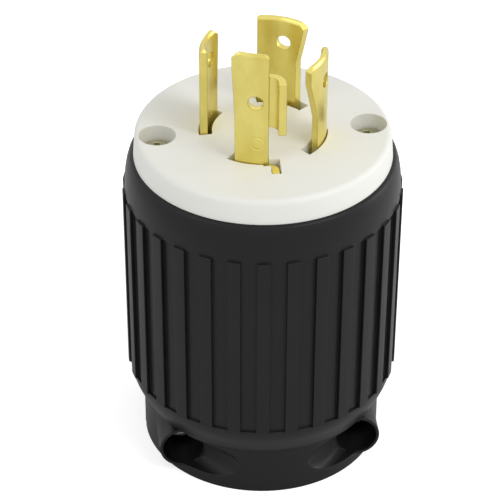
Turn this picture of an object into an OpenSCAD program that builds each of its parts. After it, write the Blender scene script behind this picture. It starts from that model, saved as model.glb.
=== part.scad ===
// Four-blade locking power plug, rated for a portable generator or shore cord.
// Millimetres, +Z along the plug axis towards the blade tips. The origin is at
// the middle of the cord clamp's flat end, which the plug stands on.

/* [Cord clamp] */
// Outer radius of the two clamp jaws
jaw_r = 24.6; // [24.2:0.1:24.8]
// Height of the jaws below the housing
jaw_h = 11.2; // [11:0.1:14]
// Gap between the two jaws
jaw_gap = 1.6; // [0.8:0.1:2.4]
// Chamfer round the jaws' lower edge
jaw_chamfer = 0.1; // [0.1:0.1:0.8]
// Radius of the bore that grips the cord
cord_r = 8.5; // [7:0.1:9.5]
// Depth of the grip grooves in that bore
grip_depth = 0.8; // [0.4:0.1:1]
// Height of each grip groove
grip_h = 1.6; // [1:0.1:2]
// Outer radius of the neck that passes through the housing floor
neck_r = 13.4; // [12.6:0.1:14]
// Wall of the neck
neck_wall = 2.6; // [2:0.1:2.8]
// How far the lip above the floor reaches past the neck
lip_reach = 1.8; // [1:0.1:2.4]
// Height of that lip
lip_h = 1.6; // [1.2:0.1:2.4]

/* [Clamp screws] */
// Distance of each clamp screw from the plug axis
clamp_x = 18; // [17.6:0.1:18.2]
// Height of each clamp screw above the flat end
clamp_z = 6.5; // [6.2:0.1:6.8]
// Radius of the round pocket over each screw head
pocket_r = 4.2; // [3.9:0.05:4.3]
// Wall of the tube round each pocket
pocket_wall = 0.6; // [0.5:0.1:1.4]
// Distance of the pocket mouths from the middle plane
mouth_y = 16.6; // [16:0.1:17.5]
// Depth of the screw heads in their pockets
head_sink = 7.3; // [6.5:0.1:8]
// Turn of the relief in front of each pocket, towards the middle, in degrees
relief_angle = 40; // [20:1:45]
// Radius of a clamp screw's head
clamp_head_r = 3.4; // [3:0.1:3.6]
// Height of a clamp screw's head
clamp_head_h = 2.4; // [2:0.1:2.8]
// Radius of a clamp screw's shank
clamp_shank_r = 1.75; // [1.5:0.05:2]
// Width of a clamp nut across its flats
nut_width = 6.6; // [6:0.1:6.8]
// Height of a clamp nut
nut_h = 2.8; // [2.4:0.1:3.4]
// Distance of a clamp nut's seat from the middle plane
nut_y = 8; // [7:0.1:9]
// Depth of the screwdriver slot in every slotted head
driver_depth = 0.9; // [0.6:0.1:1.2]
// Width of that slot
driver_w = 1.1; // [0.8:0.1:1.3]
// Length of the short slot across it, as a share of the head
cross_share = 0.6; // [0.5:0.05:0.8]

/* [Housing] */
// Radius of the housing's lower rim
rim_r = 25.4; // [25.2:0.1:26.4]
// Rounding of the lower rim
rim_round = 0.7; // [0.4:0.1:1]
// Height of the smooth band below the ribs
low_band_h = 6.7; // [5.5:0.1:8]
// Radius of that band where the ribs begin
low_band_r = 27.4; // [26.9:0.05:27.5]
// Height of the grip ribs
rib_h = 41.8; // [41.5:0.1:50]
// Height of the smooth band above the ribs
top_band_h = 7.7; // [7:0.1:9]
// Radius of that band where the ribs end
top_band_r = 27.6; // [27.4:0.05:27.8]
// Radius of the housing's mouth round the white body
mouth_r = 25.9; // [25.8:0.05:26.4]
// How far the ribs stand proud of the bands
rib_proud = 0.45; // [0.2:0.05:0.6]
// How far the grooves between ribs lie below the bands
groove_depth = 0.4; // [0.2:0.05:0.6]
// Number of grip ribs
rib_count = 30; // [24:2:36]
// Width of each rib
rib_w = 2.6; // [2:0.1:3]
// Wall of the housing at its mouth
mouth_wall = 1.5; // [1.4:0.05:1.6]
// Thickness of the housing floor
floor_t = 3; // [2:0.1:4]

/* [White body] */
// Height of the white body above the housing
cap_h = 5.2; // [4.9:0.1:6.5]
// Radius of the white body where it meets the housing
cap_r = 25.7; // [25.5:0.05:25.75]
// Draft of its side wall
cap_draft = 0.3; // [0.1:0.1:0.5]
// Rounding of its upper edge
cap_round = 1.2; // [0.8:0.1:1.6]
// Thickness of the face
face_t = 7; // [6.8:0.1:9]
// Wall of the skirt inside the housing
skirt_t = 2; // [1.6:0.1:2.4]
// Clearance between moulded parts that slide together
fit = 0.2; // [0.1:0.05:0.3]
// Radius of the hub that takes the retainer screw
hub_r = 4.5; // [4.2:0.1:5]
// Height of that screw's seat below the retainer
hub_floor = 1; // [0.5:0.1:3]

/* [Assembly screws] */
// Distance of each assembly screw from the housing's bore
screw_inset = 3.5; // [3.4:0.1:3.8]
// Radius of the counterbore in the face
counter_r = 3.65; // [3.5:0.05:3.8]
// Depth of the screw seat below the face
seat_depth = 4.6; // [4.2:0.1:4.7]
// Radius of an assembly screw's head
head_r = 3.3; // [3:0.05:3.4]
// Height of an assembly screw's head
head_h = 1.6; // [1.4:0.1:2.6]
// Radius of an assembly screw's shank
shank_r = 1.75; // [1.5:0.05:1.9]
// Clearance round a screw in a plain hole
hole_clear = 0.25; // [0.15:0.05:0.4]
// Clearance round a screw in its thread
thread_clear = 0.05; // [0.02:0.01:0.1]
// Radius of the bosses that the screws run through
boss_r = 3.9; // [3.7:0.1:4.2]
// Radius of the threaded brass inserts
insert_r = 2.9; // [2.6:0.1:3]
// Length of the inserts
insert_l = 10; // [8:0.5:12]

/* [Blades] */
// Outer radius of the blades about the plug axis
blade_r = 12.5; // [12:0.1:13]
// Thickness of the blades
blade_t = 1.5; // [1.3:0.1:1.7]
// Height of the line and neutral blades above the face
blade_h = 18.9; // [18:0.1:22]
// Height of the ground blade above the face
ground_h = 24; // [23:0.1:26]
// Gap between a blade's inner side and its slot
slot_in = 0.9; // [0.5:0.1:1.1]
// Gap between a blade's outer side and its slot
slot_out = 0.2; // [0.1:0.1:0.4]
// Gap past each end of a blade in its slot, in degrees
slot_end = 1; // [0.5:0.5:2]
// Extra slot past the ground blade, in degrees
ground_slot_extra = 3; // [1:0.5:4]
// Depth of the bevel on the tips
tip_bevel = 0.45; // [0.2:0.05:0.6]
// Height of the bevel on the tips
tip_bevel_h = 0.9; // [0.6:0.1:1.2]
// Size of the cut corners on the clockwise side of the tips
corner_cut = 1.1; // [0.6:0.1:1.6]
// Size of the cut corners on the other side
far_corner_cut = 0.6; // [0.3:0.1:1.2]
// Size of that corner on the right line blade
right_far_corner = 0.2; // [0.1:0.1:0.6]
// Depth of the notch in the ground blade's clockwise edge
ground_notch = 0.7; // [0.4:0.1:1]
// Depth of the notch in the neutral blade
neutral_notch = 1.75; // [1.5:0.05:2.2]
// Depth of the notch in the right line blade
right_notch = 2.45; // [2:0.05:2.8]
// Depth of the notch in the left line blade
left_notch = 0.3; // [0.1:0.1:0.6]
// Height above the face where the ground blade's notch begins to close
ground_notch_low = 10; // [9:0.1:12]
// Height where it is closed
ground_notch_high = 21; // [18:0.1:22]
// Height above the face where the neutral blade's notch begins to close
neutral_notch_low = 9.7; // [8:0.1:11]
// Height where it is closed
neutral_notch_high = 17.3; // [15:0.1:17.5]
// Height above the face where the line blades' notches begin to close
line_notch_low = 6.5; // [5:0.1:9]
// Height where they are closed
line_notch_high = 15; // [13:0.1:17]
// Radius of the round holes in the blades
blade_hole_r = 1.5; // [1.3:0.05:1.7]
// Height of those holes above the face
blade_hole_h = 13.6; // [12.5:0.1:14.5]

/* [Ground hook] */
// Height of the hook's lower end above the face
hook_low = 8.4; // [7:0.1:10]
// Height of the hook's upper end above the face
hook_high = 19.4; // [18:0.1:21]
// Distance of the hook's outer edge from the plug axis
hook_reach = 15.7; // [15:0.1:16.5]
// Inner bend radius of the hook
hook_bend = 1.6; // [0.8:0.1:1.8]
// Inner bend radius of the hook's foot
foot_bend = 0.6; // [0.3:0.1:0.8]
// Depth of the foot's top below the face
foot_sink = 1; // [0.4:0.1:1.5]

/* [Terminals] */
// Height of the blades' shoulders
shoulder_h = 3; // [2.4:0.1:4]
// Reach of a shoulder past its slot, in degrees
shoulder_reach = 3; // [2:0.5:4]
// Thickness of the blade retainer
retainer_t = 6; // [5:0.1:8]
// Length of the blades' tails below the retainer
tail_l = 13; // [12:0.1:14]
// How far the flat tails lie inside the curve of the blades
tail_inset = 0.25; // [0.15:0.05:0.4]
// Width of the blades' tails
tail_w = 8.4; // [8:0.1:9]
// Distance of the terminal screws below the retainer
terminal_drop = 8.6; // [8:0.1:9]
// Radius of a terminal screw's head
terminal_head_r = 3.6; // [3.2:0.1:3.8]
// Height of a terminal screw's head
terminal_head_h = 2.4; // [2:0.1:3]
// Radius of a terminal screw's shank
terminal_shank_r = 1.9; // [1.6:0.05:2]
// Space for the wire between tail and pressure plate
wire_gap = 1.8; // [1.2:0.1:2]
// Thickness of a pressure plate
plate_t = 2.2; // [1.8:0.1:2.4]
// Width and height of a pressure plate
plate_w = 8; // [7:0.1:8.4]
// Depth of the walls between the wiring chambers
wall_drop = 15; // [13:0.5:18]
// Thickness of those walls
wall_t = 1.8; // [1.4:0.1:2]

/* [Hidden] */
$fn = 96;
eps = 0.01;
quarter = 90;
far = 60;
round_steps = 6;
bore_r = mouth_r - mouth_wall;
screw_x = bore_r - screw_inset;
rim_z = jaw_h;
rib_z = rim_z + low_band_h;
rib_top_z = rib_z + rib_h;
mouth_z = rib_top_z + top_band_h;
face_z = mouth_z + cap_h;
face_under_z = face_z - face_t;
retainer_top_z = face_under_z - shoulder_h;
retainer_z = retainer_top_z - retainer_t;
terminal_z = retainer_z - terminal_drop;
tail_z = retainer_z - tail_l;
column_z = retainer_z - fit;
floor_z = rim_z + floor_t;
seat_z = face_z - seat_depth;
rib_low_r = low_band_r + rib_proud;
rib_top_r = top_band_r + rib_proud;
groove_low_r = low_band_r - groove_depth;
groove_top_r = top_band_r - groove_depth;
rib_root = 0.5;
rib_lap = 0.1;
skirt_r = bore_r - fit;
skirt_in_r = skirt_r - skirt_t;
retainer_r = skirt_in_r - fit;
boss_reach = boss_r + fit;
blade_in_r = blade_r - blade_t;
slot_in_r = blade_in_r - slot_in;
slot_out_r = blade_r + slot_out;
tube_r = pocket_r + pocket_wall;
clamp_head_y = mouth_y - head_sink;
tail_in_r = blade_in_r - tail_inset;
tail_r = tail_in_r + blade_t;
plate_x = tail_in_r - wire_gap - plate_t;
edge_waste = 4;
screw_tip = 1;

// Each blade: clockwise edge, counter-clockwise edge and hole (degrees about the axis),
// notch depth, heights where the notch begins to close and is closed, far corner cut
GROUND = [-126, -91.9, -103.7, ground_notch, ground_notch_low, ground_notch_high, far_corner_cut];
RIGHT_LINE = [-50.4, -6, -24, right_notch, line_notch_low, line_notch_high, right_far_corner];
NEUTRAL = [39.2, 89.6, 62.7, neutral_notch, neutral_notch_low, neutral_notch_high, far_corner_cut];
LEFT_LINE = [137.5, 182.5, 154, left_notch, line_notch_low, line_notch_high, far_corner_cut];
BLADES = [GROUND, RIGHT_LINE, NEUTRAL, LEFT_LINE];

// Middle of a blade, in degrees about the axis
function middle(b) = (b[0] + b[1]) / 2;
// Angle of the wall between two neighbouring terminals
function between(a, b) = (middle(a) + middle(b)) / 2;
WALLS = [between(GROUND, RIGHT_LINE), between(RIGHT_LINE, NEUTRAL),
    between(NEUTRAL, LEFT_LINE), between(LEFT_LINE, GROUND) + 180];

// ---- shared shapes ----

// A wall of revolution between two radii, two heights and two angles
module sector(r0, r1, z0, z1, a0, a1) {
    rotate([0, 0, a0])
        rotate_extrude(angle = a1 - a0)
            polygon([[r0, z0], [r1, z0], [r1, z1], [r0, z1]]);
}

// Children drawn as (tangent, height) at angle a, pushed out along the radius
module radial_prism(a) {
    rotate([0, 0, a])
        rotate([90, 0, 90])
            linear_extrude(far)
                children();
}

// A rod along the radius at angle a and height z, from r0 to r1
module radial_rod(a, z, r0, r1, r) {
    rotate([0, 0, a])
        translate([r0, 0, z])
            rotate([0, 90, 0])
                cylinder(r = r, h = r1 - r0);
}

// A screw standing on z = 0 with its shank below, and a slot crossed by a short one
module slotted_screw(head_radius, head_height, shank_radius, length) {
    edge = head_height / 4;
    cross = cross_share * head_radius;
    difference() {
        union() {
            rotate_extrude()
                polygon([[0, 0], [head_radius, 0], [head_radius, head_height - edge],
                    [head_radius - edge, head_height], [0, head_height]]);
            translate([0, 0, -length])
                cylinder(r = shank_radius, h = length + eps);
        }
        translate([-head_radius - eps, -driver_w / 2, head_height - driver_depth])
            cube([2 * head_radius + 2 * eps, driver_w, driver_depth + eps]);
        translate([-driver_w / 2, -cross, head_height - driver_depth])
            cube([driver_w, 2 * cross, driver_depth + eps]);
    }
}

// ---- housing ----

module housing_wall() {
    low_band = [for (i = [1:round_steps]) let (t = i / round_steps)
        [rim_r + (low_band_r - rim_r) * sin(quarter * t),
            rim_z + rim_round + (low_band_h - rim_round) * t]];
    top_band = [for (i = [0:round_steps]) let (t = quarter * i / round_steps)
        [mouth_r + (top_band_r - mouth_r) * cos(t), rib_top_z + top_band_h * sin(t)]];
    rim = [for (i = [0:round_steps]) let (t = quarter * i / round_steps)
        [rim_r - rim_round + rim_round * sin(t), rim_z + rim_round - rim_round * cos(t)]];
    rotate_extrude()
        polygon(concat([[neck_r + fit, floor_z], [neck_r + fit, rim_z]], rim, low_band,
            [[groove_low_r, rib_z], [groove_top_r, rib_top_z]], top_band,
            [[bore_r, mouth_z], [bore_r, floor_z]]));
}

module grip_rib() {
    rib_angle = 2 * asin(rib_w / 2 / rib_top_r);
    rotate([0, 0, -rib_angle / 2])
        rotate_extrude(angle = rib_angle)
            polygon([[groove_low_r - rib_root, rib_z - rib_lap], [rib_low_r, rib_z - rib_lap],
                [rib_top_r, rib_top_z + rib_lap], [groove_top_r - rib_root, rib_top_z + rib_lap]]);
}

module screw_column(side) {
    difference() {
        translate([side * screw_x, 0, floor_z - floor_t / 2])
            cylinder(r = boss_r, h = column_z - floor_z + floor_t / 2);
        translate([side * screw_x, 0, column_z - insert_l])
            cylinder(r = insert_r + thread_clear, h = insert_l + eps);
        translate([side * screw_x, 0, column_z - insert_l - 3 * shank_r])
            cylinder(r = shank_r + hole_clear, h = 3 * shank_r + eps);
    }
}

module ribbed_housing() {
    color([0.15, 0.15, 0.16]) union() {
        housing_wall();
        for (i = [0:rib_count - 1])
            rotate([0, 0, 360 * i / rib_count])
                grip_rib();
        for (side = [-1, 1])
            screw_column(side);
    }
}

// ---- white body and blade retainer ----

module cap_blank() {
    top_r = cap_r - cap_draft;
    edge = [for (i = [0:round_steps]) let (t = quarter * i / round_steps)
        [top_r - cap_round + cap_round * cos(t), face_z - cap_round + cap_round * sin(t)]];
    rotate_extrude()
        polygon(concat([[0, face_under_z], [skirt_in_r, face_under_z], [skirt_in_r, retainer_z],
            [skirt_r, retainer_z], [skirt_r, mouth_z], [cap_r, mouth_z]], edge, [[0, face_z]]));
}

module blade_slot(b, extra) {
    sector(slot_in_r, slot_out_r, face_under_z - 1, face_z + 1,
        b[0] - slot_end - extra, b[1] + slot_end);
}

// The leg of the ground slot, in line with the foot of the hook
module hook_slot() {
    reach = hook_reach - blade_in_r + 2 * fit;
    rotate([0, 0, GROUND[1]])
        translate([blade_in_r - fit, 0, face_under_z - 1]) {
            translate([0, foot_bend - fit, 0])
                cube([reach, blade_t + 2 * fit, face_t + 2]);
            translate([0, -1, 0])
                cube([blade_t + foot_bend + fit, foot_bend + 1, face_t + 2]);
        }
}

module white_body() {
    color([0.93, 0.93, 0.9]) difference() {
        union() {
            cap_blank();
            translate([0, 0, retainer_top_z])
                cylinder(r = hub_r, h = shoulder_h + 1);
            intersection() {
                cylinder(r = skirt_in_r + skirt_t / 2, h = face_z);
                for (side = [-1, 1])
                    translate([side * screw_x, 0, retainer_z])
                        cylinder(r = boss_r, h = face_under_z - retainer_z + 1);
            }
        }
        blade_slot(GROUND, ground_slot_extra);
        for (b = [RIGHT_LINE, NEUTRAL, LEFT_LINE])
            blade_slot(b, 0);
        hook_slot();
        for (side = [-1, 1]) translate([side * screw_x, 0, 0]) {
            translate([0, 0, retainer_z - 1])
                cylinder(r = shank_r + hole_clear, h = face_z);
            translate([0, 0, seat_z])
                cylinder(r = counter_r, h = seat_depth + 1);
        }
        translate([0, 0, retainer_top_z - 1])
            cylinder(r = shank_r + thread_clear, h = shoulder_h + face_t / 2 + 1);
    }
}

module blade_retainer() {
    wall_lap = 0.5;
    color([0.80, 0.80, 0.77]) difference() {
        union() {
            translate([0, 0, retainer_z])
                cylinder(r = retainer_r, h = retainer_t);
            translate([0, 0, retainer_z - wall_drop])
                cylinder(r = hub_r, h = wall_drop + 1);
            for (a = WALLS)
                rotate([0, 0, a])
                    translate([hub_r - wall_lap, -wall_t / 2, retainer_z - wall_drop])
                        cube([retainer_r - hub_r - wall_lap, wall_t, wall_drop + 1]);
        }
        for (side = [-1, 1])
            translate([side * screw_x, 0, retainer_z - wall_drop - 1])
                cylinder(r = boss_reach, h = retainer_t + wall_drop + 2);
        for (b = BLADES)
            rotate([0, 0, middle(b)])
                translate([tail_in_r - fit, -tail_w / 2 - fit, retainer_z - 1])
                    cube([blade_t + 2 * fit, tail_w + 2 * fit, retainer_t + 2]);
        translate([0, 0, retainer_z - wall_drop - 1])
            cylinder(r = head_r + fit, h = wall_drop + 1 - hub_floor);
        translate([0, 0, retainer_z - hub_floor - 1])
            cylinder(r = shank_r + hole_clear, h = retainer_t + hub_floor + 2);
    }
}

module retainer_screw() {
    color([0.75, 0.76, 0.78])
        translate([0, 0, retainer_z - hub_floor])
            mirror([0, 0, 1])
                slotted_screw(head_r, head_h, shank_r,
                    hub_floor + retainer_t + shoulder_h + face_t / 2 - screw_tip);
}

// ---- blades ----

// The curved sheet that a blade is cut from, as wide as its shoulder, with a bevelled tip
module blade_sheet(b, height, extra) {
    tip_z = face_z + height;
    from = b[0] - slot_end - extra - shoulder_reach;
    rotate([0, 0, from])
        rotate_extrude(angle = b[1] + slot_end + shoulder_reach - from)
            polygon([[blade_in_r, retainer_top_z], [blade_r, retainer_top_z],
                [blade_r, tip_z - tip_bevel_h], [blade_r - tip_bevel, tip_z],
                [blade_in_r + tip_bevel, tip_z], [blade_in_r, tip_z - tip_bevel_h]]);
}

// What is cut off the sheet past a blade's two edges, with the notch and the corners
module edge_cuts(b, height) {
    tip_z = face_z + height;
    radial_prism(b[0])
        polygon([[-edge_waste, face_under_z], [b[3], face_under_z], [b[3], face_z + b[4]],
            [0, face_z + b[5]], [0, tip_z - corner_cut], [corner_cut + 1, tip_z + 1],
            [-edge_waste, tip_z + 1]]);
    radial_prism(b[1])
        polygon([[edge_waste, face_under_z], [0, face_under_z], [0, tip_z - b[6]],
            [-b[6] - 1, tip_z + 1], [edge_waste, tip_z + 1]]);
}

module blade(b, height, extra) {
    difference() {
        union() {
            difference() {
                blade_sheet(b, height, extra);
                edge_cuts(b, height);
            }
            rotate([0, 0, middle(b)])
                translate([tail_in_r, -tail_w / 2, tail_z])
                    cube([blade_t, tail_w, retainer_top_z + shoulder_h / 2 - tail_z]);
        }
        radial_rod(b[2], face_z + blade_hole_h, 0, far, blade_hole_r);
        radial_rod(middle(b), terminal_z, 0, far, terminal_shank_r + hole_clear);
    }
}

// A leg bent outwards off the ground blade's edge, between two heights
module bent_leg(bend, z0, z1) {
    bend_r = blade_r + bend;
    rotate([0, 0, GROUND[1]]) {
        translate([bend_r, 0, 0])
            sector(bend, bend + blade_t, z0, z1, 90, 180);
        translate([bend_r, bend, z0])
            cube([hook_reach - bend_r, blade_t, z1 - z0]);
    }
}

module ground_blade() {
    color([0.84, 0.74, 0.3]) union() {
        blade(GROUND, ground_h, ground_slot_extra);
        bent_leg(hook_bend, face_z + hook_low, face_z + hook_high);
        bent_leg(foot_bend, face_under_z + fit, face_z - foot_sink);
    }
}

module neutral_blade() {
    color([0.84, 0.74, 0.3])
        blade(NEUTRAL, blade_h, 0);
}

module left_line_blade() {
    color([0.84, 0.74, 0.3])
        blade(LEFT_LINE, blade_h, 0);
}

module right_line_blade() {
    color([0.84, 0.74, 0.3])
        blade(RIGHT_LINE, blade_h, 0);
}

// ---- terminals ----

module pressure_plate(b) {
    difference() {
        rotate([0, 0, middle(b)])
            translate([plate_x, -plate_w / 2, terminal_z - plate_w / 2])
                cube([plate_t, plate_w, plate_w]);
        radial_rod(middle(b), terminal_z, 0, far, terminal_shank_r + thread_clear);
    }
}

module terminal_screw(b) {
    rotate([0, 0, middle(b)])
        translate([tail_r, 0, terminal_z])
            rotate([0, 90, 0])
                slotted_screw(terminal_head_r, terminal_head_h, terminal_shank_r,
                    tail_r - plate_x + screw_tip / 2);
}

module ground_pressure_plate() { color([0.80, 0.72, 0.35]) pressure_plate(GROUND); }
module neutral_pressure_plate() { color([0.80, 0.72, 0.35]) pressure_plate(NEUTRAL); }
module left_pressure_plate() { color([0.80, 0.72, 0.35]) pressure_plate(LEFT_LINE); }
module right_pressure_plate() { color([0.80, 0.72, 0.35]) pressure_plate(RIGHT_LINE); }
module ground_terminal_screw() { color([0.15, 0.5, 0.25]) terminal_screw(GROUND); }
module neutral_terminal_screw() { color([0.8, 0.8, 0.8]) terminal_screw(NEUTRAL); }
module left_terminal_screw() { color([0.80, 0.72, 0.35]) terminal_screw(LEFT_LINE); }
module right_terminal_screw() { color([0.80, 0.72, 0.35]) terminal_screw(RIGHT_LINE); }

// ---- assembly screws and inserts ----

module assembly_screw(side) {
    color([0.78, 0.78, 0.66])
        translate([side * screw_x, 0, seat_z])
            slotted_screw(head_r, head_h, shank_r, seat_z - column_z + insert_l - screw_tip);
}

module insert(side) {
    color([0.84, 0.74, 0.3])
        translate([side * screw_x, 0, column_z - insert_l])
            difference() {
                cylinder(r = insert_r, h = insert_l);
                translate([0, 0, -1])
                    cylinder(r = shank_r + thread_clear, h = insert_l + 2);
            }
}

module left_assembly_screw() { assembly_screw(-1); }
module right_assembly_screw() { assembly_screw(1); }
module left_insert() { insert(-1); }
module right_insert() { insert(1); }

// ---- cord clamp ----

// Both jaws as one ring, before it is split and drilled
module jaw_ring() {
    neck_bore_r = neck_r - neck_wall;
    lip_z = floor_z + fit;
    difference() {
        union() {
            rotate_extrude()
                polygon([[cord_r, 0], [jaw_r - jaw_chamfer, 0], [jaw_r, jaw_chamfer],
                    [jaw_r, jaw_h], [cord_r, jaw_h]]);
            intersection() {
                for (side = [-1, 1])
                    translate([side * clamp_x, mouth_y, clamp_z])
                        rotate([90, 0, 0])
                            cylinder(r = tube_r, h = 2 * mouth_y);
                cylinder(r = far, h = jaw_h - fit / 2);
            }
            rotate_extrude()
                polygon([[neck_bore_r, jaw_h - 1], [neck_r, jaw_h - 1], [neck_r, lip_z],
                    [neck_r + lip_reach, lip_z], [neck_r + lip_reach, lip_z + lip_h],
                    [neck_bore_r, lip_z + lip_h]]);
        }
        translate([0, 0, -1])
            cylinder(r = cord_r, h = jaw_h + 1);
        for (i = [1:2])
            translate([0, 0, jaw_h * i / 3 - grip_h / 2])
                cylinder(r = cord_r + grip_depth, h = grip_h);
    }
}

// The half of space on one side of the gap between the jaws
module jaw_side(side) {
    translate([-far / 2, side > 0 ? jaw_gap / 2 : -jaw_gap / 2 - far, -far / 2])
        cube([far, far, far]);
}

module clamp_hole(side, y, length, radius) {
    translate([side * clamp_x, y, clamp_z])
        rotate([-90, 0, 0])
            cylinder(r = radius, h = length);
}

// A hexagonal prism on a clamp screw's axis, from the nut's seat outwards
module nut_blank(side, width, length) {
    translate([side * clamp_x, nut_y, clamp_z])
        rotate([-90, 0, 0])
            cylinder(r = width / 2 / cos(30), h = length, $fn = 6);
}

// The slanted cut that takes the ring's wall away in front of a pocket's inner half
module pocket_relief(side) {
    difference() {
        translate([side * clamp_x, -mouth_y, clamp_z])
            rotate([90, 0, -side * relief_angle])
                translate([0, 0, -pocket_r])
                    cylinder(r = pocket_r - fit, h = 4 * pocket_r);
        translate([-far, -mouth_y, -far])
            cube(2 * far);
    }
}

module front_jaw() {
    color([0.15, 0.15, 0.16]) difference() {
        intersection() {
            jaw_ring();
            jaw_side(-1);
        }
        for (side = [-1, 1]) {
            clamp_hole(side, -mouth_y - 1, mouth_y - clamp_head_y + clamp_head_h + 1, pocket_r);
            clamp_hole(side, -mouth_y - 1, mouth_y + 1, clamp_shank_r + hole_clear);
            pocket_relief(side);
        }
    }
}

module rear_jaw() {
    color([0.15, 0.15, 0.16]) difference() {
        intersection() {
            jaw_ring();
            jaw_side(1);
        }
        for (side = [-1, 1]) {
            nut_blank(side, nut_width + 2 * fit, far);
            clamp_hole(side, 0, far, clamp_shank_r + hole_clear);
        }
    }
}

module clamp_screw(side) {
    color([0.75, 0.76, 0.78])
        translate([side * clamp_x, -clamp_head_y + clamp_head_h, clamp_z])
            rotate([90, 0, 0])
                slotted_screw(clamp_head_r, clamp_head_h, clamp_shank_r,
                    clamp_head_y - clamp_head_h + nut_y + nut_h + screw_tip);
}

module clamp_nut(side) {
    color([0.75, 0.76, 0.78]) difference() {
        nut_blank(side, nut_width, nut_h);
        clamp_hole(side, 0, far, clamp_shank_r + thread_clear);
    }
}

module left_clamp_screw() { clamp_screw(-1); }
module right_clamp_screw() { clamp_screw(1); }
module left_clamp_nut() { clamp_nut(-1); }
module right_clamp_nut() { clamp_nut(1); }

ribbed_housing();
white_body();
blade_retainer();
retainer_screw();
ground_blade();
neutral_blade();
left_line_blade();
right_line_blade();
ground_pressure_plate();
neutral_pressure_plate();
left_pressure_plate();
right_pressure_plate();
ground_terminal_screw();
neutral_terminal_screw();
left_terminal_screw();
right_terminal_screw();
left_assembly_screw();
right_assembly_screw();
left_insert();
right_insert();
front_jaw();
rear_jaw();
left_clamp_screw();
right_clamp_screw();
left_clamp_nut();
right_clamp_nut();
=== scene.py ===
# %% [markdown]
# # A four-blade locking plug
#
# The plug's pieces come from a solid model that is already the right size and in the right
# place: a ribbed black housing, a white front, four curved brass blades, two long screws and
# a two-jaw cord clamp. This script loads those pieces, gives each one the finish that the
# real one has, rounds the edges that a solid model leaves sharp, and sets up a camera, a floor
# and a soft studio light.

# %% Load the solid pieces
import math

import bmesh
import bpy
from mathutils import Matrix, Vector


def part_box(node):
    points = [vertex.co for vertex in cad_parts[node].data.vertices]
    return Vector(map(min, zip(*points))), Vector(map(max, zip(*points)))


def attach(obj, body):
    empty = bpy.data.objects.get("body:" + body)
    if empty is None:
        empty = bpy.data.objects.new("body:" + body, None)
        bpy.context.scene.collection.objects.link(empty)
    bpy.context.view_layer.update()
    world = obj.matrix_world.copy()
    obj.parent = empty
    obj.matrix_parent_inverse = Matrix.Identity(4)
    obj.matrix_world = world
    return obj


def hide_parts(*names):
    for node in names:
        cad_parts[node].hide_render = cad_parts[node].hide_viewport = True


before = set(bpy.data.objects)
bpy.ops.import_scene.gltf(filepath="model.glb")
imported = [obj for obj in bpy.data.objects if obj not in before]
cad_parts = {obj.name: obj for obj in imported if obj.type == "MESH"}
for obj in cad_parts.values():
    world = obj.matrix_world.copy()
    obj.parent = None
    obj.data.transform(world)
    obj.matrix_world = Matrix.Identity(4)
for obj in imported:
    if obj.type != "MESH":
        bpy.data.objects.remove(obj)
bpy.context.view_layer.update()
MM = 0.001
print("solid pieces:", len(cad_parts))

# %% [markdown]
# ## The camera
#
# A product picture of a plug is taken from slightly above with a long lens, so that the round
# face shows as an ellipse and the sides hardly converge. The camera is placed by the point it
# looks at, its distance, and two angles, because these can be changed one at a time.

# %% Place the camera
LOOK_AT = Vector((-2.5, 0.0, 43.6)) * MM
DISTANCE = 495.5 * MM
AROUND = math.radians(6.44)
ABOVE = math.radians(35.43)
ROLL = math.radians(0.26)
LENS = 175.4

camera = bpy.data.objects.new("camera", bpy.data.cameras.new("camera"))
camera.data.lens = LENS
camera.data.sensor_width = 36.0
camera.data.clip_start = 0.01
bpy.context.scene.collection.objects.link(camera)
turn = Matrix.Rotation(-AROUND, 4, "Z") @ Matrix.Rotation(math.pi / 2 - ABOVE, 4, "X")
camera.matrix_world = Matrix.Translation(LOOK_AT) @ turn @ Matrix.Translation((0, 0, DISTANCE))
camera.matrix_world = camera.matrix_world @ Matrix.Rotation(ROLL, 4, "Z")
bpy.context.scene.camera = camera
print("camera in mm:", [round(value / MM, 1) for value in camera.matrix_world.translation])

# %% [markdown]
# ## Floor and light
#
# The plug stands on a white sweep. The world is white for the camera and for reflections, and
# gives a dimmer even light to everything else, which is how a light tent works. One large
# lamp from the front right lights the face, a small one at the right draws the long highlight
# down the housing, and a weak one fills the left.

# %% Floor, world and lamps
FLOOR_SIZE = 4.0
WORLD_LIGHT = 0.62

floor_mesh = bpy.data.meshes.new("floor")
sheet = bmesh.new()
bmesh.ops.create_grid(sheet, x_segments=1, y_segments=1, size=FLOOR_SIZE / 2)
sheet.to_mesh(floor_mesh)
sheet.free()
floor = bpy.data.objects.new("floor", floor_mesh)
bpy.context.scene.collection.objects.link(floor)


def add_lamp(name, place, size, power):
    """A square lamp that points at the middle of the plug."""
    lamp = bpy.data.objects.new(name, bpy.data.lights.new(name, "AREA"))
    lamp.data.size = size
    lamp.data.energy = power
    lamp.location = place
    aim = LOOK_AT - lamp.location
    lamp.rotation_euler = aim.to_track_quat("-Z", "Y").to_euler()
    bpy.context.scene.collection.objects.link(lamp)
    return lamp


add_lamp("key_lamp", Vector((0.55, -0.50, 0.80)), 0.5, 3.6)
add_lamp("side_lamp", Vector((0.70, 0.10, 0.20)), 0.3, 1.0)
add_lamp("left_lamp", Vector((-0.60, -0.30, 0.60)), 0.4, 0.9)

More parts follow.
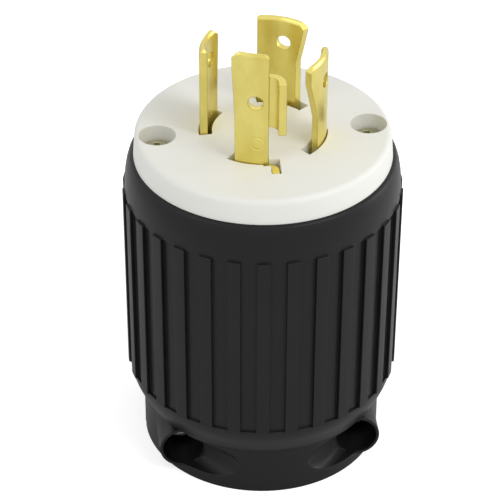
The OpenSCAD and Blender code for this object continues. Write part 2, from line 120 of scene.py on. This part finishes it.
world = bpy.data.worlds.new("studio")
world.use_nodes = True
bpy.context.scene.world = world
links = world.node_tree.links
background = world.node_tree.nodes["Background"]
background.inputs["Color"].default_value = (1.0, 1.0, 1.0, 1.0)
path = world.node_tree.nodes.new("ShaderNodeLightPath")
seen = world.node_tree.nodes.new("ShaderNodeMath")
seen.operation = "MAXIMUM"
links.new(path.outputs["Is Camera Ray"], seen.inputs[0])
links.new(path.outputs["Is Glossy Ray"], seen.inputs[1])
level = world.node_tree.nodes.new("ShaderNodeMapRange")
level.inputs["To Min"].default_value = WORLD_LIGHT
level.inputs["To Max"].default_value = 1.0
links.new(seen.outputs["Value"], level.inputs["Value"])
links.new(level.outputs["Result"], background.inputs["Strength"])
bpy.context.scene.view_settings.view_transform = "Standard"

# %% [markdown]
# ## Writing a material as an expression
#
# A procedural finish is arithmetic on noise and position. Wiring Math nodes by hand hides
# that arithmetic, so a small class wraps a socket and lets it be added and multiplied like a
# number. Anything that isn't arithmetic comes from one method that adds any node.

# %% A socket that can be calculated with
EDGE_SAMPLES = 6


class Wire:
    """An output socket that + - * / turn into Math nodes."""

    def __init__(self, finish, socket):
        self.finish = finish
        self.socket = socket

    def maths(self, operation, first, second):
        return self.finish.add("ShaderNodeMath", {"operation": operation}, {0: first, 1: second})

    def __add__(self, other):
        return self.maths("ADD", self, other)

    def __sub__(self, other):
        return self.maths("SUBTRACT", self, other)

    def __rsub__(self, other):
        return self.maths("SUBTRACT", other, self)

    def __mul__(self, other):
        return self.maths("MULTIPLY", self, other)

    def __truediv__(self, other):
        return self.maths("DIVIDE", self, other)

    __radd__ = __add__
    __rmul__ = __mul__


class Finish:
    """A Principled material that is built up with add() and feed()."""

    def __init__(self, name, constants):
        self.material = bpy.data.materials.new(name)
        self.material.use_nodes = True
        self.tree = self.material.node_tree
        self.shader = self.tree.nodes["Principled BSDF"]
        for socket, value in constants.items():
            self.shader.inputs[socket].default_value = value

    def add(self, kind, settings, inputs, output=0):
        """Adds a node, sets it up, fills its inputs and returns one of its outputs."""
        node = self.tree.nodes.new(kind)
        for setting, value in settings.items():
            setattr(node, setting, value)
        for socket, value in inputs.items():
            if isinstance(value, Wire):
                self.tree.links.new(value.socket, node.inputs[socket])
            else:
                node.inputs[socket].default_value = value
        return Wire(self, node.outputs[output])

    def feed(self, socket, wire):
        """Links a wire to one of the shader's own sockets."""
        self.tree.links.new(wire.socket, self.shader.inputs[socket])

    def noise(self, scale, detail=2.0, stretch=(1.0, 1.0, 1.0)):
        """Noise from 0 to 1, its features 1 / scale metres across, stretched along X, Y and Z."""
        spot = self.add("ShaderNodeTexCoord", {}, {}, output="Object")
        point = self.add("ShaderNodeMapping", {}, {"Vector": spot, "Scale": stretch})
        return self.add("ShaderNodeTexNoise", {}, {"Vector": point, "Scale": scale, "Detail": detail})

    def blend(self, amount, low, high):
        """A colour between two colours, by an amount from 0 to 1."""
        sockets = {0: amount, 6: (*low, 1.0), 7: (*high, 1.0)}
        return self.add("ShaderNodeMix", {"data_type": "RGBA"}, sockets, output=2)

    def mix(self, amount, low, high):
        """A colour between a wire and a fixed colour."""
        sockets = {0: amount, 6: low, 7: (*high, 1.0)}
        return self.add("ShaderNodeMix", {"data_type": "RGBA"}, sockets, output=2)

    def ring(self, middle, radius, width):
        """A mask that is 1 on a ring of a radius about a point, and fades over a width."""
        spot = self.add("ShaderNodeTexCoord", {}, {}, output="Object")
        pair = {0: spot, 1: middle}
        reach = self.add("ShaderNodeVectorMath", {"operation": "DISTANCE"}, pair, output="Value")
        off = self.add("ShaderNodeMath", {"operation": "ABSOLUTE"}, {0: reach - radius})
        return self.add("ShaderNodeClamp", {}, {"Value": 1.0 - off / width})

    def rounded(self, radius):
        """The surface's direction, as if its edges were rounded to a radius in metres."""
        return self.add("ShaderNodeBevel", {"samples": EDGE_SAMPLES}, {"Radius": radius})

    def edges(self, radius, gain):
        """A mask that is 1 along sharp edges and 0 on flat stretches."""
        flat = self.add("ShaderNodeNewGeometry", {}, {}, output="Normal")
        pair = {0: self.rounded(radius), 1: flat}
        alike = self.add("ShaderNodeVectorMath", {"operation": "DOT_PRODUCT"}, pair, output="Value")
        return self.add("ShaderNodeClamp", {}, {"Value": gain * (1.0 - alike)})

    def relief(self, height, radius):
        """Lifts the surface by a height in millimetres and rounds its edges to a radius."""
        sockets = {"Height": height, "Distance": MM, "Strength": 1.0, "Normal": self.rounded(radius)}
        self.feed("Normal", self.add("ShaderNodeBump", {}, sockets))


def dress(finish, *names):
    """Gives a finish to pieces: to the softened copy where there is one, or else to the solid."""
    for name in names:
        piece = softened.get(name)
        if piece:
            piece.data.materials.append(finish.material)
        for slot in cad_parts[name].material_slots:
            slot.material = finish.material
    print(finish.material.name, "on", ", ".join(names))


# %% [markdown]
# ## Edges that catch the light
#
# A solid model's edges are perfectly sharp, and nothing real has such edges: a mould rounds
# them, and a press or a tumbling barrel takes the burr off brass. The thin highlight along an
# edge is what makes a thing look solid. A Bevel node could fake it in the render, but then
# the mesh would stay sharp, so the edges are rounded in the mesh.
#
# The solids come as loose triangles. A copy is welded, its flat faces are joined again, and
# only then are its outward edges bevelled, because a bevel cuts along every edge it is given.
# Inward corners stay sharp, as they are where two moulded or milled faces meet.

# %% Round the outward edges of a piece
WELD = 0.002 * MM
FLAT = math.radians(0.6)
SHARP = math.radians(30.0)
PRESSED_EDGE = 0.22
MOULDED_EDGE = 0.15
TURNED_EDGE = 0.12
softened = {}


def soften(name, radius, steps=3):
    """Stands a welded copy, its outward edges rounded to a radius in mm, in for a solid piece."""
    work = bmesh.new()
    work.from_mesh(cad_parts[name].data)
    bmesh.ops.remove_doubles(work, verts=work.verts, dist=WELD)
    bmesh.ops.dissolve_limit(work, angle_limit=FLAT, verts=work.verts, edges=work.edges)
    sharp = [edge for edge in work.edges
             if edge.is_convex and edge.calc_face_angle(0.0) > SHARP]
    bmesh.ops.bevel(work, geom=sharp, offset=radius * MM, segments=steps, profile=0.5,
                    affect="EDGES", clamp_overlap=True, material=-1)
    for face in work.faces:
        face.smooth = True
    mesh = bpy.data.meshes.new(name + "_soft")
    work.to_mesh(mesh)
    open_edges = sum(not edge.is_manifold for edge in work.edges)
    work.free()
    mesh.set_sharp_from_angle(angle=SHARP)
    piece = bpy.data.objects.new(name + "_soft", mesh)
    bpy.context.scene.collection.objects.link(piece)
    even = piece.modifiers.new("even_shading", "WEIGHTED_NORMAL")
    even.keep_sharp = True
    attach(piece, "root")
    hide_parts(name)
    softened[name] = piece
    print(name, len(sharp), "edges rounded,", len(mesh.polygons), "faces,", open_edges, "open")


for name in ("ground_blade", "neutral_blade", "left_line_blade", "right_line_blade"):
    soften(name, PRESSED_EDGE)
for name in ("ribbed_housing", "front_jaw", "rear_jaw"):
    soften(name, MOULDED_EDGE)
soften("white_body", MOULDED_EDGE)
for name in ("left_assembly_screw", "right_assembly_screw"):
    soften(name, TURNED_EDGE)
for name in ("left_clamp_screw", "right_clamp_screw", "left_clamp_nut", "right_clamp_nut"):
    soften(name, TURNED_EDGE)

# %% [markdown]
# ## Moulded nylon
#
# The housing and the jaws are black nylon out of a spark-eroded mould: satin, with a grain
# finer than a tenth of a millimetre, and a little blotchy in its gloss where the plastic
# cooled unevenly. The white front is smoother. Grain is a bump on fine noise, and the
# blotches are slow noise on the roughness, so that both hold in any light. The mesh rounds
# only the outward edges. A mould leaves its inward corners a little round too, so the bump
# starts from a direction that is rounded at all of them.

# %% Black, white and inner nylon
BLOTCH_SCALE = 90.0
GRAIN_SCALE = 6000.0
BLACK_CORNER = 0.18 * MM
PALE_CORNER = 0.20 * MM


def nylon(name, dark, light, gloss, rough, grain_depth, corner):
    """Moulded nylon between two shades, with a fine grain and slightly rounded corners."""
    finish = Finish(name, {"Specular IOR Level": gloss})
    blotch = finish.noise(BLOTCH_SCALE, 3.0)
    grain = finish.noise(GRAIN_SCALE, 3.0)
    finish.feed("Base Color", finish.blend(blotch, dark, light))
    finish.feed("Roughness", rough + 0.12 * blotch + 0.05 * grain)
    finish.relief(grain_depth * grain, corner)
    return finish


black_nylon = nylon("black_nylon", (0.0060, 0.0060, 0.0064), (0.0090, 0.0089, 0.0094),
                    0.24, 0.30, 0.005, BLACK_CORNER)
dress(black_nylon, "ribbed_housing", "front_jaw", "rear_jaw")
white_nylon = nylon("white_nylon", (0.83, 0.83, 0.785), (0.86, 0.86, 0.82),
                    0.35, 0.36, 0.003, PALE_CORNER)
dress(white_nylon, "white_body")
inner_nylon = nylon("inner_nylon", (0.60, 0.59, 0.53), (0.68, 0.67, 0.61),
                    0.35, 0.42, 0.003, PALE_CORNER)
dress(inner_nylon, "blade_retainer")

# %% [markdown]
# ## Rolled brass
#
# The blades are stamped from rolled brass strip. Rolling leaves fine lines that run along the
# strip, which here is round the plug. The lines are noise squeezed along Z, and they drive the
# bump and, more weakly, the gloss. A second, slow noise shifts the colour between lemon and a
# duller gold. The mask of edges from Finish.edges paints the rims brown, unevenly with that
# slow noise: this brown is painted shade along the edges.
#
# The ground blade also carries a small round inspection stamp, which is a plain ring here. It
# is pressed in by the distance from its middle, so it needs no mesh of its own.

# %% Brass for the blades
# The brown that is painted on the blades' edges as shade.
EDGE_SHADE_BROWN = (0.26, 0.17, 0.035)
DULL_GOLD = (0.66, 0.53, 0.115)
LEMON = (0.92, 0.82, 0.27)
ROLLED_CORNER = 0.20 * MM
# Width of the brown painted shade along the blades' edges.
EDGE_SHADE_WIDTH = 0.30 * MM
BLADE_RADIUS = 12.5 * MM
STAMP_ANGLE = math.radians(-101.8)
STAMP_RADIUS = 1.3 * MM
STAMP_LINE = 0.22 * MM
STAMP_DEPTH = 0.10
STAMP_ABOVE_FACE = 4.6 * MM

face_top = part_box("white_body")[1].z
blade_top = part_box("ground_blade")[1].z
print("ground blade stands", round((blade_top - face_top) / MM, 1), "mm out of the face")


def rolled_brass(name):
    """Brass strip with rolling lines, tarnish and edges painted brown as shade, and the lines' height.
    """
    finish = Finish(name, {"Metallic": 1.0})
    lines = finish.noise(260.0, 4.0, (1.0, 1.0, 34.0))
    tarnish = finish.noise(230.0, 4.0, (1.0, 1.0, 0.6))
    # Painted shade: the edges are darkened towards brown, more so where the tarnish noise is high.
    shaded_edges = finish.edges(EDGE_SHADE_WIDTH, 2.6) * (0.55 + 0.45 * tarnish)
    strip = finish.blend(tarnish, DULL_GOLD, LEMON)
    finish.feed("Base Color", finish.mix(shaded_edges, strip, EDGE_SHADE_BROWN))
    finish.feed("Roughness", 0.20 + 0.10 * lines + 0.12 * tarnish + 0.12 * shaded_edges)
    return finish, 0.012 * lines


blade_brass, height = rolled_brass("blade_brass")
blade_brass.relief(height, ROLLED_CORNER)
dress(blade_brass, "neutral_blade", "left_line_blade", "right_line_blade")

stamped_brass, height = rolled_brass("stamped_brass")
stamp = (BLADE_RADIUS * math.cos(STAMP_ANGLE), BLADE_RADIUS * math.sin(STAMP_ANGLE),
         face_top + STAMP_ABOVE_FACE)
groove = stamped_brass.ring(stamp, STAMP_RADIUS, STAMP_LINE)
stamped_brass.relief(height - STAMP_DEPTH * groove, ROLLED_CORNER)
dress(stamped_brass, "ground_blade")

# %% [markdown]
# ## Turned brass and plated steel
#
# The inserts, the wire clamps and two of the terminal screws are turned brass. The clamp
# screws are bright zinc, the long assembly screws have a pale olive passivation, and the
# ground terminal's screw is stained green, as the code for its wire asks. Plating follows the
# steel below it, so it is a metal with slow, cloudy changes of gloss. On all of them the edges
# are painted darker, as shade.

# %% Brass, zinc, pale and green hardware
# Width of the painted shade along the hardware's edges.
HARDWARE_EDGE_SHADE_WIDTH = 0.15 * MM
TURNED_CORNER = 0.12 * MM
PLATING_GRAIN = 0.004


def hardware(name, dull, bright, rough):
    """A turned or plated metal whose colour and gloss drift between two values, with painted shade
    darkening its edges.
    """
    finish = Finish(name, {"Metallic": 1.0})
    cloud = finish.noise(700.0, 4.0)
    # Painted shade: along the edges the colour is pulled towards the dull one.
    shaded_edges = finish.edges(HARDWARE_EDGE_SHADE_WIDTH, 2.0)
    finish.feed("Base Color", finish.blend(cloud * (1.0 - 0.6 * shaded_edges), dull, bright))
    finish.feed("Roughness", rough + 0.18 * cloud)
    finish.relief(PLATING_GRAIN * finish.noise(4000.0, 3.0), TURNED_CORNER)
    return finish


turned_brass = hardware("turned_brass", (0.60, 0.42, 0.13), (0.80, 0.64, 0.28), 0.26)
dress(turned_brass, "left_insert", "right_insert", "left_terminal_screw", "right_terminal_screw",
      "ground_pressure_plate", "neutral_pressure_plate", "left_pressure_plate", "right_pressure_plate")
zinc = hardware("zinc", (0.40, 0.41, 0.40), (0.78, 0.79, 0.77), 0.20)
dress(zinc, "left_clamp_screw", "right_clamp_screw", "left_clamp_nut", "right_clamp_nut",
      "retainer_screw", "neutral_terminal_screw")
pale_plate = hardware("pale_plate", (0.34, 0.32, 0.17), (0.66, 0.64, 0.48), 0.24)
dress(pale_plate, "left_assembly_screw", "right_assembly_screw")
green_plate = hardware("green_plate", (0.02, 0.16, 0.05), (0.05, 0.34, 0.12), 0.25)
dress(green_plate, "ground_terminal_screw")

# %% [markdown]
# ## The floor
#
# The floor has to look white without lighting the plug from below more than a real sweep
# would. What the camera sees is mixed from a plain white glow and a matte surface that still
# takes the plug's shadow.

# %% White sweep
SWEEP_GLOW = 0.55
SWEEP_SHADE = 0.9

sweep = bpy.data.materials.new("white_sweep")
sweep.use_nodes = True
sweep_nodes = sweep.node_tree.nodes
matte = sweep_nodes["Principled BSDF"]
matte.inputs["Base Color"].default_value = (SWEEP_SHADE, SWEEP_SHADE, SWEEP_SHADE, 1.0)
matte.inputs["Roughness"].default_value = 0.9
matte.inputs["Specular IOR Level"].default_value = 0.0
ray = sweep_nodes.new("ShaderNodeLightPath")
glow = sweep_nodes.new("ShaderNodeMath")
glow.operation = "MULTIPLY"
glow.inputs[1].default_value = SWEEP_GLOW
sweep.node_tree.links.new(ray.outputs["Is Camera Ray"], glow.inputs[0])
sweep.node_tree.links.new(glow.outputs["Value"], matte.inputs["Emission Strength"])
matte.inputs["Emission Color"].default_value = (1.0, 1.0, 1.0, 1.0)
floor.data.materials.append(sweep)
print("floor at z = 0,", FLOOR_SIZE, "m wide")
